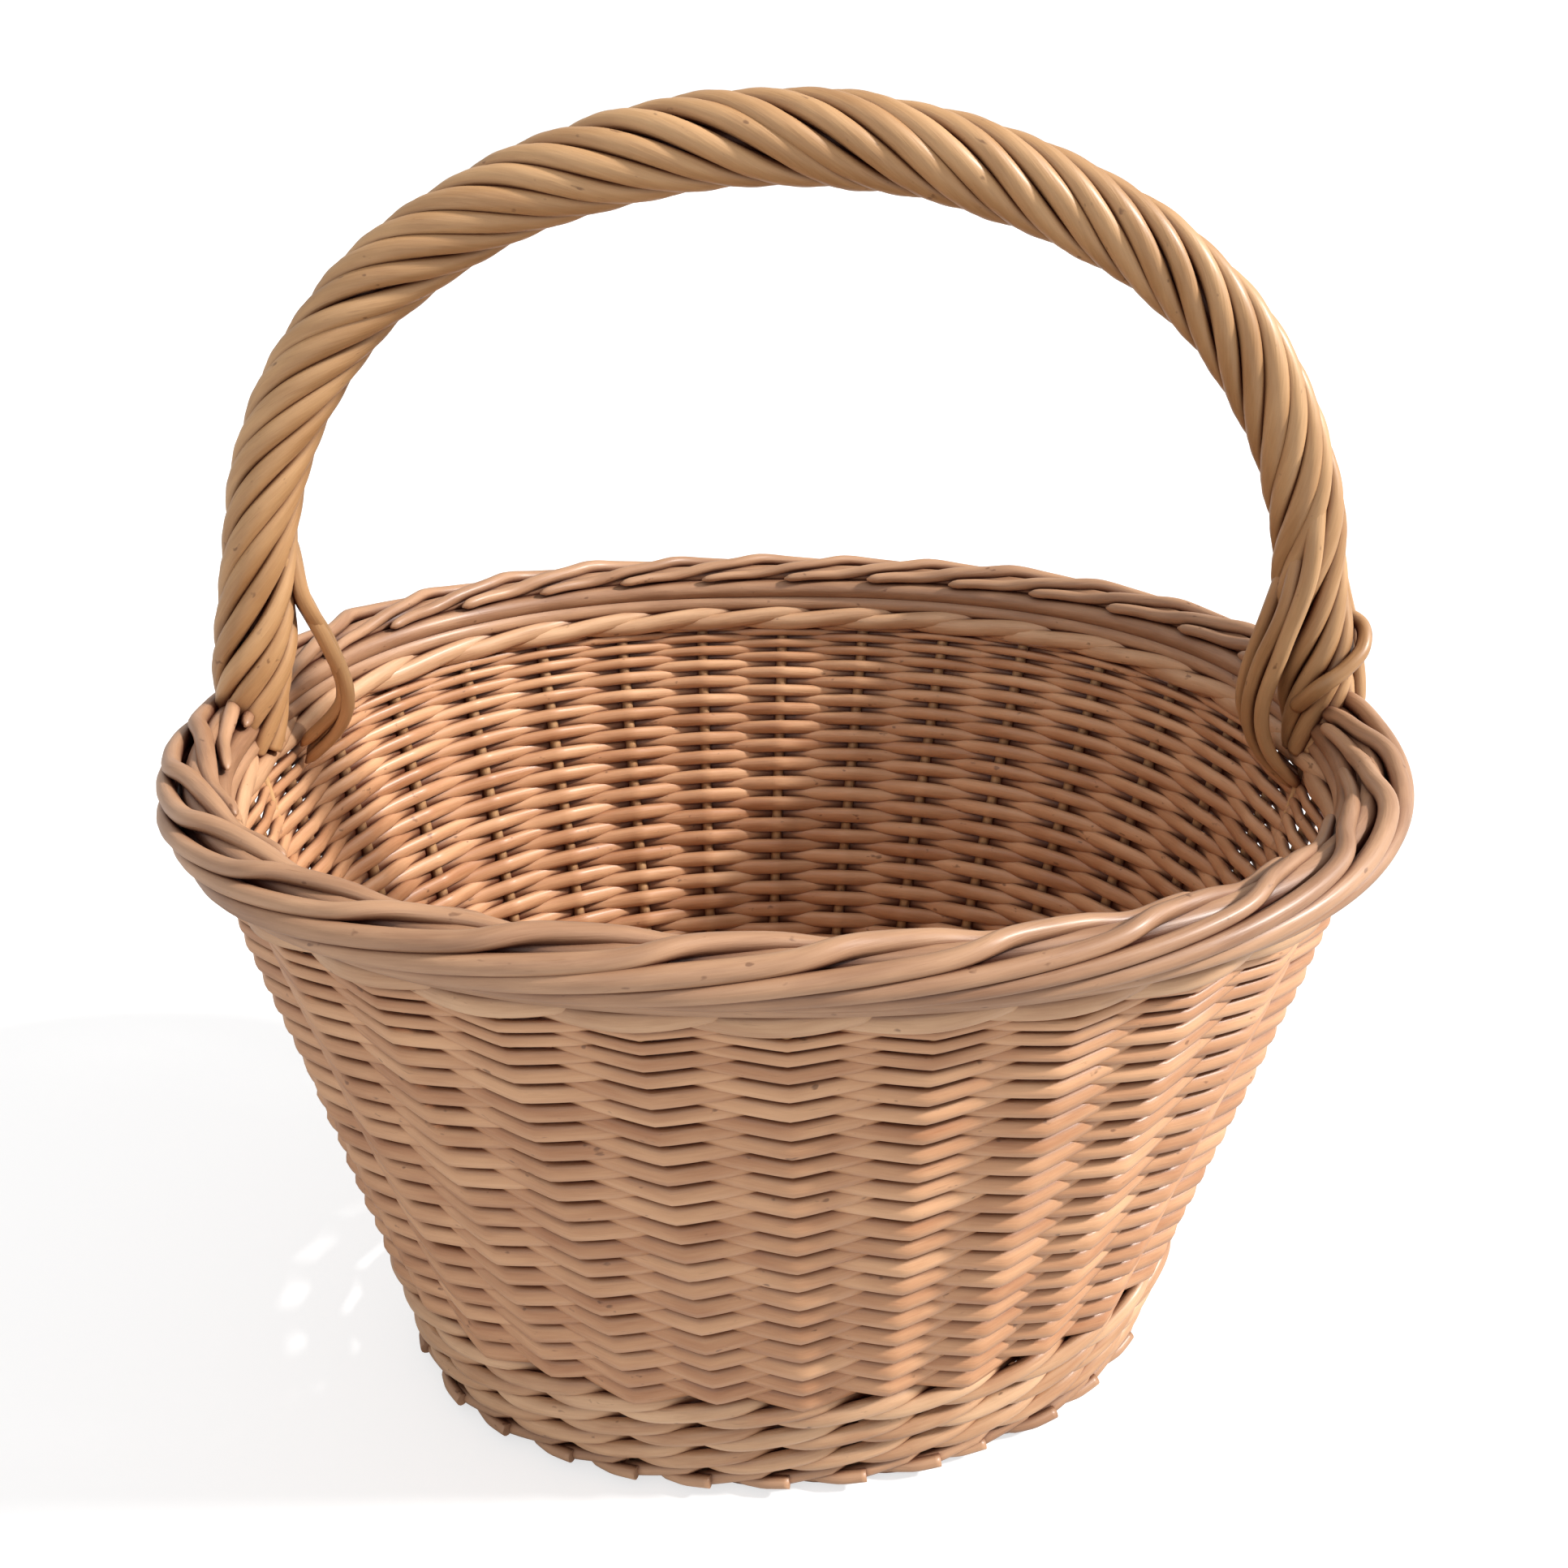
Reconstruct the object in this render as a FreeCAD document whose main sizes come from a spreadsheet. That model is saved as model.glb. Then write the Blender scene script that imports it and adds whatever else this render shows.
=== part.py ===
import FreeCAD, Part
import math
import os

# Oval willow basket with a fixed roped handle.  Millimetres, +Z up.  The origin is on
# the ground plane, at the middle of the foot; X is the long way of the oval, and the
# handle stands in the XZ plane.

doc = FreeCAD.newDocument("willow_basket")
sheet = doc.addObject("Spreadsheet::Sheet", "Sizes")

SIZES = [
    # The wall is a ruled surface: straight stakes from the foot outline up to the rim
    # outline.  Both outlines are superellipses, measured on the middle of the wall.
    ("foot_half_length", 149, "foot outline, half length, at the ground"),
    ("foot_half_width", 97, "foot outline, half width, at the ground"),
    ("foot_power", 2.0, "foot outline, superellipse power"),
    ("foot_twist", 5, "degrees that the foot is turned against the rim, seen from above"),
    ("rim_half_length", 197, "rim outline, half length, at rim_height"),
    ("rim_half_width", 172, "rim outline, half width, at rim_height"),
    ("rim_power", 2.25, "rim outline, superellipse power"),
    ("rim_height", 272, "height of the middle of the rim border"),
    ("stake_count", 30, "side stakes, equally spaced along the outline"),
    ("stake_radius", 2.5, "side stake radius"),
    ("fit_gap", 0.3, "clearance round every rod that passes through weaving"),
    ("weave_half", 5, "half thickness of the randed wall"),
    ("set_count", 4, "sets of side weaving, one above the other"),
    ("wale_half", 6, "half thickness of the waled bands"),
    ("wale_rounds", 3, "rounds of waling above the foot"),
    ("wale_pitch", 16.5, "height of one round of waling"),
    ("foot_border_height", 11, "height of the foot border"),
    ("foot_border_out", 6, "foot border, outward of the wall's middle"),
    ("foot_border_in", 10, "foot border, inward of the wall's middle"),
    ("rim_border_half", 13, "half width of the rolled rim border"),
    ("rim_border_rise", 11, "half height of the rolled rim border"),
    ("rim_border_round", 5, "corner cut that rounds the rim border's section"),
    ("top_wale_height", 9, "height of the wale under the rim border"),
    ("socket_depth", 7, "how far a stake runs into a border"),
    ("base_height", 12, "thickness of the woven base"),
    ("long_stick_count", 3, "base sticks along X"),
    ("long_stick_radius", 2, "radius of a base stick along X"),
    ("long_stick_step", 6, "spacing of the base sticks along X"),
    ("cross_stick_count", 7, "base sticks along Y"),
    ("cross_stick_radius", 4, "radius of a base stick along Y"),
    ("cross_stick_step", 35, "spacing of the base sticks along Y"),
    ("stick_margin", 6, "base left beyond the end of a stick"),
    ("handle_inset", 6, "middle of a handle leg at its foot, inward of the rim outline"),
    ("handle_half_span", 183, "handle, half span of the circles that its shoulders lie on"),
    ("handle_rise", 190, "top of the handle's middle line, above rim_height"),
    ("handle_leg", 35, "centres of the handle's shoulders, above rim_height"),
    ("handle_side_radius", 145, "radius of the handle's shoulders"),
    ("bow_radius", 6, "radius of the bow stick in the handle"),
    ("bow_neck_radius", 4, "bow stick radius where it enters the wall"),
    ("bow_tip_radius", 2.5, "bow stick radius at its pointed end"),
    ("bow_depth", 76, "length of bow stick pushed down into the wall"),
    ("roping_radius", 13, "radius over the roping rods"),
    ("wrap_radius", 4, "radius of a rod that ties the handle in"),
    ("wrap_count", 3, "tying rods at each foot of the handle"),
    ("wrap_step", 9, "spacing of the tying rods"),
    ("wrap_drop", 21, "how far the tying rods hang below the rim border"),
]
for row, (alias, value, meaning) in enumerate(SIZES, start=1):
    sheet.set("A%d" % row, alias)
    sheet.set("B%d" % row, str(value))
    sheet.set("C%d" % row, meaning)
    sheet.setAlias("B%d" % row, alias)
doc.recompute()


def size(alias):
    """A driving dimension, read back from the sheet."""
    return float(sheet.get(alias))


OUTLINE_STEPS = 720
BAY_STEPS = 2


# ---------------------------------------------------------------- outlines

def superellipse(half_length, half_width, power, count, shift):
    """Points and outward normals at equal steps along a superellipse, from its +X end."""
    turns = [2 * math.pi * i / OUTLINE_STEPS for i in range(OUTLINE_STEPS + 1)]
    dense = []
    for turn in turns:
        c, s = math.cos(turn), math.sin(turn)
        dense.append((math.copysign(abs(c) ** (2 / power), c) * half_length,
                      math.copysign(abs(s) ** (2 / power), s) * half_width))
    run = [0.0]
    for a, b in zip(dense, dense[1:]):
        run.append(run[-1] + math.dist(a, b))
    stations = []
    k = 0
    for i in range(count):
        target = run[-1] * (i + shift) / count
        while run[k + 1] < target:
            k += 1
        part = (target - run[k]) / (run[k + 1] - run[k])
        x = dense[k][0] + part * (dense[k + 1][0] - dense[k][0])
        y = dense[k][1] + part * (dense[k + 1][1] - dense[k][1])
        nx = math.copysign(abs(x / half_length) ** (power - 1) / half_length, x)
        ny = math.copysign(abs(y / half_width) ** (power - 1) / half_width, y)
        length = math.hypot(nx, ny)
        stations.append((x, y, nx / length, ny / length))
    return stations


def turned(stations, angle):
    """Stations turned about the Z axis."""
    c, s = math.cos(angle), math.sin(angle)
    return [(c * x - s * y, s * x + c * y, c * nx - s * ny, s * nx + c * ny)
            for x, y, nx, ny in stations]


def wall_stations(z, count, shift):
    """Stations on the middle of the wall at height z, between foot and rim outlines."""
    foot = superellipse(size("foot_half_length"), size("foot_half_width"),
                        size("foot_power"), count, shift)
    rim = superellipse(size("rim_half_length"), size("rim_half_width"),
                       size("rim_power"), count, shift)
    foot = turned(foot, math.radians(size("foot_twist")))
    k = z / size("rim_height")
    stations = []
    for a, b in zip(foot, rim):
        x, y, nx, ny = [p + k * (q - p) for p, q in zip(a, b)]
        length = math.hypot(nx, ny)
        stations.append((x, y, nx / length, ny / length))
    return stations


def outline(name, offset, z):
    """A closed wire round the wall at height z, set off outwards by offset."""
    count = int(size("stake_count")) * BAY_STEPS
    points = [FreeCAD.Vector(x + offset * nx, y + offset * ny, 0)
              for x, y, nx, ny in wall_stations(z, count, 0.0)]
    wire = doc.addObject("Part::Feature", name)
    wire.Shape = Part.makePolygon(points + points[:1])
    wire.Placement = FreeCAD.Placement(FreeCAD.Vector(0, 0, z), FreeCAD.Rotation())
    return wire


def loft(name, profile):
    """A solid through the outlines of a profile, a list of (offset, height) pairs."""
    solid = doc.addObject("Part::Loft", name)
    solid.Sections = [outline("%s_outline_%d" % (name, i), offset, z)
                      for i, (offset, z) in enumerate(profile)]
    solid.Solid = True
    solid.Ruled = True
    return solid


def cut(name, base, tool):
    """One object less another."""
    result = doc.addObject("Part::Cut", name)
    result.Base = base
    result.Tool = tool
    return result


def group(name, members):
    """Separate solids of one kind, kept as one node."""
    result = doc.addObject("Part::Compound", name)
    result.Links = members
    return result


def cylinder(name, radius, height, start, direction):
    """A round rod whose radius and height are expressions on the sheet."""
    rod = doc.addObject("Part::Cylinder", name)
    rod.setExpression("Radius", radius)
    rod.setExpression("Height", height)
    turn = FreeCAD.Rotation(FreeCAD.Vector(0, 0, 1), direction)
    rod.Placement = FreeCAD.Placement(start, turn)
    return rod


nodes = []


def keep(label, thing):
    """Name an object as a sub-part that is written out."""
    thing.Label = label
    nodes.append(thing)


# ---------------------------------------------------------------- heights and places

foot_top = size("foot_border_height")
wale_top = foot_top + size("wale_rounds") * size("wale_pitch")
border_bottom = size("rim_height") - size("rim_border_rise")
border_top = size("rim_height") + size("rim_border_rise")
randing_top = border_bottom - size("top_wale_height")
bow_tip = border_bottom - size("bow_depth")

# The handle's legs lean in from the top of the border and run straight, until they
# touch the circles that the shoulders lie on, whose centres are inner out along X.
handle_foot = size("rim_half_length") - size("handle_inset")
inner = size("handle_half_span") - size("handle_side_radius")
level = size("rim_height") + size("handle_leg")
leg_lean = (math.acos(size("handle_side_radius") / math.hypot(
    handle_foot - inner, level - border_top)) - math.atan2(
    level - border_top, handle_foot - inner))


# ---------------------------------------------------------------- side stakes

def stake_rods(prefix, radius, extra):
    """Straight rods along the wall, each end extra longer than the stake."""
    low = foot_top - size("socket_depth")
    high = border_bottom + size("socket_depth")
    count = int(size("stake_count"))
    rods = []
    ends = zip(wall_stations(low, count, 0.5), wall_stations(high, count, 0.5))
    for i, (a, b) in enumerate(ends):
        start = FreeCAD.Vector(a[0], a[1], low)
        along = FreeCAD.Vector(b[0], b[1], high) - start
        length = along.Length + 2 * extra
        along.normalize()
        rods.append(cylinder("%s_%02d" % (prefix, i + 1), radius, "%.9f mm" % length,
                             start - along * extra, along))
    return rods


side_stakes = group("side_stakes", stake_rods("side_stake", "Sizes.stake_radius", 0))
keep("side_stakes", side_stakes)
stake_holes = group("stake_holes", stake_rods(
    "stake_hole", "Sizes.stake_radius + Sizes.fit_gap", size("fit_gap")))


# ---------------------------------------------------------------- handle bow

def leg_x(lift):
    """Middle of a handle leg, out along X, at a height above the border's top."""
    return handle_foot - lift * math.tan(leg_lean)


def bow_end(name, side, extra):
    """The pointed end of the bow stick, from its leg down into the wall."""
    tip = bow_tip - extra
    lift = size("bow_radius") * math.tan(leg_lean)

    def wall_x(z):
        k = z / size("rim_height")
        rim, foot = size("rim_half_length"), size("foot_half_length")
        return foot + k * (rim - foot)

    rings = [("Sizes.bow_radius", leg_x(lift), border_top + lift),
             ("Sizes.bow_neck_radius", wall_x(border_bottom), border_bottom),
             ("Sizes.bow_tip_radius", wall_x(tip), tip)]
    sections = []
    for i, (radius, x, z) in enumerate(rings):
        ring = doc.addObject("Part::Circle", "%s_ring_%d" % (name, i))
        ring.setExpression("Radius", "%s + %.9f" % (radius, extra))
        ring.Placement.Base = FreeCAD.Vector(side * x, 0, z)
        sections.append(ring)
    end = doc.addObject("Part::Loft", name)
    end.Sections = sections
    end.Solid = True
    end.Ruled = True
    return end


def handle_path(lift):
    """Leg, shoulder, crown, shoulder and leg: a three-centred arch in the XZ plane, whose
    ends stand lift above the border's top."""
    rise = size("handle_rise") - size("handle_leg")
    side = size("handle_side_radius")
    crown = (inner ** 2 + rise ** 2 - side ** 2) / (2 * (rise - side))
    bend = math.atan2(crown - rise, inner)
    middle = (leg_lean + bend) / 2

    def at(x, z):
        return FreeCAD.Vector(x, 0, z)

    def shoulder(sign, turn):
        return at(sign * (inner + side * math.cos(turn)), level + side * math.sin(turn))

    foot = border_top + lift
    return Part.Wire([
        Part.makeLine(at(-leg_x(lift), foot), shoulder(-1, leg_lean)),
        Part.Arc(shoulder(-1, leg_lean), shoulder(-1, middle), shoulder(-1, bend)).toShape(),
        Part.Arc(shoulder(-1, bend), at(0, level + rise), shoulder(1, bend)).toShape(),
        Part.Arc(shoulder(1, bend), shoulder(1, middle), shoulder(1, leg_lean)).toShape(),
        Part.makeLine(shoulder(1, leg_lean), at(leg_x(lift), foot))])


def arch(name, radius, lift):
    """A round rod bent along the handle's path, its ends square to the legs."""
    path = doc.addObject("Part::Feature", name + "_path")
    path.Shape = handle_path(lift)
    ring = doc.addObject("Part::Circle", name + "_ring")
    ring.setExpression("Radius", radius)
    ring.Placement = FreeCAD.Placement(
        FreeCAD.Vector(-leg_x(lift), 0, border_top + lift),
        FreeCAD.Rotation(FreeCAD.Vector(0, 1, 0), math.degrees(leg_lean)))
    rod = doc.addObject("Part::Sweep", name)
    rod.Sections = [ring]
    rod.Spine = (path, ["Edge%d" % (i + 1) for i in range(5)])
    rod.Solid = True
    return rod


bow = doc.addObject("Part::MultiFuse", "handle_bow")
bow.Shapes = [arch("bow_arch", "Sizes.bow_radius", 0),
              bow_end("bow_end_left", -1, 0), bow_end("bow_end_right", 1, 0)]
keep("handle_bow", bow)
bow_holes = group("bow_holes", [bow_end("bow_hole_left", -1, size("fit_gap")),
                                bow_end("bow_hole_right", 1, size("fit_gap"))])

# The roping's lower rims clear the border by the fit gap.
roping_lift = size("roping_radius") * math.tan(leg_lean) + size("fit_gap")
roping = cut("handle_roping",
             arch("roping_outside", "Sizes.roping_radius", roping_lift),
             arch("roping_inside", "Sizes.bow_radius + Sizes.fit_gap", roping_lift))
keep("handle_roping", roping)


# ---------------------------------------------------------------- woven rings

def ring(label, outside, inside, pierced_by):
    """A ring of weaving between two profiles, with holes for the rods it holds."""
    result = cut(label + "_ring", loft(label + "_outside", outside),
                 loft(label + "_inside", inside))
    for i, tool in enumerate(pierced_by):
        result = cut("%s_pierced_%d" % (label, i), result, tool)
    keep(label, result)


def band(label, half, low, high, pierced_by):
    """A ring of even thickness, set square on the wall."""
    ring(label, [(half, low), (half, high)], [(-half, low), (-half, high)], pierced_by)


ring("foot_border",
     [(size("foot_border_out"), 0), (size("foot_border_out"), foot_top)],
     [(-size("foot_border_in"), 0), (-size("foot_border_in"), foot_top)], [stake_holes])

for i in range(int(size("wale_rounds"))):
    low = foot_top + i * size("wale_pitch")
    band("foot_wale_round_%d" % (i + 1), size("wale_half"), low,
         low + size("wale_pitch"), [stake_holes])

set_height = (randing_top - wale_top) / size("set_count")
bow_bottom = bow_tip - size("fit_gap")
for i in range(int(size("set_count"))):
    low = wale_top + i * set_height
    tools = [stake_holes, bow_holes] if low + set_height > bow_bottom else [stake_holes]
    band("side_weave_set_%d" % (i + 1), size("weave_half"), low, low + set_height, tools)

band("top_wale", size("wale_half"), randing_top, border_bottom, [stake_holes, bow_holes])

half, slant = size("rim_border_half"), size("rim_border_round")
levels = [(border_bottom, slant), (border_bottom + slant, 0),
          (border_top - slant, 0), (border_top, slant)]
ring("rim_border", [(half - less, z) for z, less in levels],
     [(less - half, z) for z, less in levels], [stake_holes, bow_holes])


# ---------------------------------------------------------------- woven base

base_middle = foot_top + size("base_height") / 2
BASE_EDGE = "Sizes.wale_half + Sizes.fit_gap"


def base_half(axis):
    """Expression for half the base's size along an axis, at the height of the sticks."""
    foot, rim = "Sizes.foot_half_" + axis, "Sizes.rim_half_" + axis
    lift = "(Sizes.foot_border_height + Sizes.base_height / 2) / Sizes.rim_height"
    return "(%s + (%s - %s) * %s - %s)" % (foot, rim, foot, lift, BASE_EDGE)


def base_group(name, sticks):
    """Base sticks kept together and turned with the foot."""
    result = group(name, sticks)
    share = 1 - base_middle / size("rim_height")
    turn = FreeCAD.Rotation(FreeCAD.Vector(0, 0, 1), size("foot_twist") * share)
    result.Placement = FreeCAD.Placement(FreeCAD.Vector(), turn)
    return result


def long_sticks(prefix, radius, extra):
    """Base sticks along X, side by side."""
    count = int(size("long_stick_count"))
    half_length = "(%s - Sizes.stick_margin + %.9f)" % (base_half("length"), extra)
    sticks = []
    for i in range(count):
        y = (i - (count - 1) / 2) * size("long_stick_step")
        stick = cylinder("%s_%d" % (prefix, i + 1), radius, "2 mm * " + half_length,
                         FreeCAD.Vector(0, y, base_middle), FreeCAD.Vector(1, 0, 0))
        stick.setExpression("Placement.Base.x", "-1 mm * " + half_length)
        sticks.append(stick)
    return sticks


def cross_sticks(prefix, radius, extra):
    """Base sticks along Y, each as long as the oval is wide there."""
    count = int(size("cross_stick_count"))
    sticks = []
    for i in range(count):
        x = (i - (count - 1) / 2) * size("cross_stick_step")
        share = "sqrt(1 - (%.9f / %s) ^ 2)" % (x, base_half("length"))
        half_width = "(%s * %s - Sizes.stick_margin + %.9f)" % (
            base_half("width"), share, extra)
        stick = cylinder("%s_%d" % (prefix, i + 1), radius, "2 mm * " + half_width,
                         FreeCAD.Vector(x, 0, base_middle), FreeCAD.Vector(0, 1, 0))
        stick.setExpression("Placement.Base.y", "-1 mm * " + half_width)
        sticks.append(stick)
    return sticks


gap = size("fit_gap")
keep("base_long_sticks", base_group("base_long_sticks", long_sticks(
    "long_stick", "Sizes.long_stick_radius", 0)))
long_holes = base_group("long_holes", long_sticks(
    "long_hole", "Sizes.long_stick_radius + Sizes.fit_gap", gap))
cross_group = base_group("cross_group", cross_sticks(
    "cross_stick", "Sizes.cross_stick_radius", 0))
keep("base_cross_sticks", cut("base_cross_sticks", cross_group, long_holes))
cross_holes = base_group("cross_holes", cross_sticks(
    "cross_hole", "Sizes.cross_stick_radius + Sizes.fit_gap", gap))

edge = -(size("wale_half") + gap)
plate = loft("base_plate", [(edge, foot_top), (edge, foot_top + size("base_height"))])
keep("base_weave", cut("base_pierced_across", cut("base_pierced_along", plate, long_holes),
                       cross_holes))


# ---------------------------------------------------------------- tying rods

def border_face(y, z):
    """Where the rim border's inner face crosses a given Y, at its +X end."""
    half = size("rim_border_half")
    count = int(size("stake_count")) * BAY_STEPS
    face = [(a - half * na, b - half * nb) for a, b, na, nb in wall_stations(z, count, 0.0)]
    for (x1, y1), (x2, y2) in zip(face[-1:] + face, face):
        if x1 > 0 and y1 <= y <= y2:
            return x1 + (y - y1) * (x2 - x1) / (y2 - y1)
    raise ValueError("the border has no end face at y = %g" % y)


def wraps(label, side):
    """Rods that tie a foot of the handle in, lying on the rim border's inner face."""
    lean = (size("rim_half_length") - size("foot_half_length")) / size("rim_height")
    aside = (size("wrap_radius") + size("fit_gap")) * math.hypot(1, lean)
    low = border_bottom - size("wrap_drop")
    high = border_top - size("fit_gap") - size("wrap_radius") * lean

    def place(y, z):
        return FreeCAD.Vector(side * (border_face(side * y, z) - aside), y, z)

    count = int(size("wrap_count"))
    rods = []
    for i in range(count):
        y = (i - (count - 1) / 2) * size("wrap_step")
        along = place(y, high) - place(y, low)
        rods.append(cylinder("%s_%d" % (label, i + 1), "Sizes.wrap_radius",
                             "%.9f mm" % along.Length, place(y, low), along))
    keep(label, group(label, rods))


wraps("handle_ties_left", -1)
wraps("handle_ties_right", 1)


# ---------------------------------------------------------------- check and write

doc.recompute()
for thing in doc.Objects:
    if {"Invalid", "Error"} & set(thing.State):
        raise RuntimeError("%s did not compute" % thing.Name)
for thing in nodes:
    if thing.Shape.isNull() or not thing.Shape.isValid():
        raise RuntimeError("%s has no sound shape" % thing.Label)

os.makedirs("parts", exist_ok=True)
for thing in nodes:
    thing.Shape.exportStep("parts/%s.step" % thing.Label)
    print("%-22s %3d solids %12.1f mm3" % (
        thing.Label, len(thing.Shape.Solids), thing.Shape.Volume))
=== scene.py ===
import math

import bpy
import numpy as np
from bpy.props import FloatProperty, FloatVectorProperty, IntProperty, PointerProperty
from bpy.types import Operator, Panel, PropertyGroup
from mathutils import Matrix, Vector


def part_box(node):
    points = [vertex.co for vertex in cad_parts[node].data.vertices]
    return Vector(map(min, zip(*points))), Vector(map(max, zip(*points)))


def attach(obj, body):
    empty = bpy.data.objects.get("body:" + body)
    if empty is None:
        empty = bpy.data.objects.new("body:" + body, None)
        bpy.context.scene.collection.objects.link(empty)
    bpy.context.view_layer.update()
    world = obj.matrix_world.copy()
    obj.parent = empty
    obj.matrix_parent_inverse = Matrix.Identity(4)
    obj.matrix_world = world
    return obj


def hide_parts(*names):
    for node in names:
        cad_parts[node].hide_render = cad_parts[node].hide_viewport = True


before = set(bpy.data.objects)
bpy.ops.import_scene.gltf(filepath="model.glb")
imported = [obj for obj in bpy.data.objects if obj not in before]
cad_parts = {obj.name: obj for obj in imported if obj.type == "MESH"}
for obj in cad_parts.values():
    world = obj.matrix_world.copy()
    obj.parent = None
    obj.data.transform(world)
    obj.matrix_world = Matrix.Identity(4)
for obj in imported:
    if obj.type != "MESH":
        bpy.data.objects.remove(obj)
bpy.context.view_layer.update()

# A willow basket with a roped handle.  Metres, +Z up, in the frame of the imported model:
# the origin is on the ground under the middle of the basket and X is its long way.
# "Share" is a place along the wall's outline, from 0 at the +X end, counter-clockwise
# to 1; "bay" is the same thing counted in stakes.  "Out" is the distance outwards from
# the middle of the wall.

bl_info = {
    "name": "Willow basket",
    "version": (1, 0, 0),
    "blender": (4, 5, 0),
    "location": "View3D > Sidebar > Basket",
    "description": "Weaves a willow basket, rod by rod, round its fixed frame",
    "category": "Add Mesh",
}

MM = 0.001
BODY = "root"

# Heights that the frame gives.
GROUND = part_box("foot_border")[0].z
FOOT_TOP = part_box("foot_border")[1].z
WALES = sorted(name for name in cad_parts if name.startswith("foot_wale_round"))
SETS = sorted(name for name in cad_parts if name.startswith("side_weave_set"))
WALE_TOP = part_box(WALES[-1])[1].z
RANDING_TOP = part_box("top_wale")[0].z
BORDER_LOW, BORDER_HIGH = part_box("rim_border")[0].z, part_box("rim_border")[1].z
BASE_LOW, BASE_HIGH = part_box("base_weave")[0].z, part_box("base_weave")[1].z
HANDLE_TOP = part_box("handle_roping")[1].z

# Cells of the willow's three patterns in a metre: across the rod both ways, and along it.
BLOTCHES = (160, 160, 34)     # 6 mm across and 30 mm long
GRAIN = (1400, 1400, 70)      # 0.7 mm across and 14 mm long, coarser than life so it shows
SPECKS = (300, 300, 170)      # 3 mm across and 6 mm along; few show, as spots of 2 mm
STREAK_BROWN = "7A4A24"
BUD_BROWN = "5A3219"
# The dark red brown of the painted shade in the creases between rods.
CREASE_SHADE_BROWN = "713A20"

# The camera: its place in metres, the degrees that it looks below level, and its lens
# and sensor in millimetres.
EYE = (0, -0.4654, 0.4586)
EYE_DOWN = 24.7
FOCAL_LENGTH = 31.68
SENSOR = 36

# Light from all round, and the white that the camera itself sees there.
SKY_LIGHT, SKY_SEEN = 0.55, 1.1
FLOOR_GLOW = 0.62
# Each lamp: name, direction that it comes from, degrees across, strength and tint.
LAMPS = [("key", (0.80, -0.10, 0.60), 6, 4.5, (1.0, 0.975, 0.95)),
         ("fill", (-0.30, -0.80, 0.65), 50, 0.45, (0.96, 0.97, 1.0))]


def linear(code):
    """A colour given as six hex digits of sRGB, as linear red, green and blue."""
    parts = [int(code[i:i + 2], 16) / 255 for i in (0, 2, 4)]
    return [p / 12.92 if p <= 0.04045 else ((p + 0.055) / 1.055) ** 2.4 for p in parts]


# ---------------------------------------------------------------- sizes and colours

def length(name, value, description):
    """A length in metres, given in millimetres."""
    return FloatProperty(name=name, description=description, default=value * MM,
                         min=0.0, unit="LENGTH", subtype="DISTANCE", precision=4)


def shade(name, code, description):
    """A colour, given as hex digits."""
    return FloatVectorProperty(name=name, description=description, size=3, min=0, max=1,
                               subtype="COLOR", default=linear(code))


class BasketSizes(PropertyGroup):
    """Sizes of the wall and of the rods that are woven on it."""

    foot_half_length: length("Foot half length", 149, "Middle of the wall at the ground, along X")
    foot_half_width: length("Foot half width", 97, "Middle of the wall at the ground, along Y")
    foot_power: FloatProperty(name="Foot power", description="Superellipse power of the foot",
                              default=2.0)
    foot_twist: FloatProperty(name="Foot twist", description="Turn of the foot against the rim",
                              default=math.radians(5), subtype="ANGLE", unit="ROTATION")
    rim_half_length: length("Rim half length", 197, "Middle of the wall at the rim, along X")
    rim_half_width: length("Rim half width", 172, "Middle of the wall at the rim, along Y")
    rim_power: FloatProperty(name="Rim power", description="Superellipse power of the rim",
                             default=2.25)
    rim_height: length("Rim height", 272, "Height of the middle of the rim border")
    stakes: IntProperty(name="Stakes", description="Side stakes round the basket", default=30)
    stake_radius: length("Stake radius", 2.5, "Radius of a side stake")
    rows: IntProperty(name="Rows", description="Rows of side weaving", default=42)
    border_rod: length("Border rod", 3.0, "Radius of a rim border rod")
    foot_rod: length("Foot rod", 2.7, "Radius of a foot border rod")
    strand: length("Handle strand", 3.7, "Half the width of a handle strand")
    strands: IntProperty(name="Strands", description="Strands round the handle", default=8)
    handle_inset: length("Handle inset", 6, "Middle of a handle foot, inward of the rim")
    handle_span: length("Handle half span", 183, "Half span of the shoulders' circles")
    shoulder_lift: length("Shoulder lift", 35, "Centres of the shoulders above the rim's middle")
    shoulder: length("Shoulder radius", 145, "Radius of the handle's shoulders")
    handle_radius: length("Handle radius", 13, "Radius over the handle's strands")
    handle_turn: length("Handle lay", 126, "Length of handle in which a strand goes round once")


class BasketColours(PropertyGroup):
    """Colours of the willow, dark to pale, for each kind of work, and of the floor."""

    side_dark: shade("Side dark", "A1663E", "Side weaving, darkest rods")
    side_pale: shade("Side pale", "DFAD82", "Side weaving, palest rods")
    wale_dark: shade("Wale dark", "A06B45", "Waling, darkest rods")
    wale_pale: shade("Wale pale", "DFB58D", "Waling, palest rods")
    border_dark: shade("Border dark", "8A6044", "Borders, darkest rods")
    border_pale: shade("Border pale", "C89C78", "Borders, palest rods")
    handle_dark: shade("Handle dark", "996A3C", "Handle, darkest strands")
    handle_pale: shade("Handle pale", "D2A676", "Handle, palest strands")
    stick_dark: shade("Stick dark", "A9743F", "Stakes and base sticks, dark")
    stick_pale: shade("Stick pale", "DDB482", "Stakes and base sticks, pale")
    floor: shade("Floor", "C6C6C6", "Plain studio floor")


# ---------------------------------------------------------------- the wall

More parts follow.
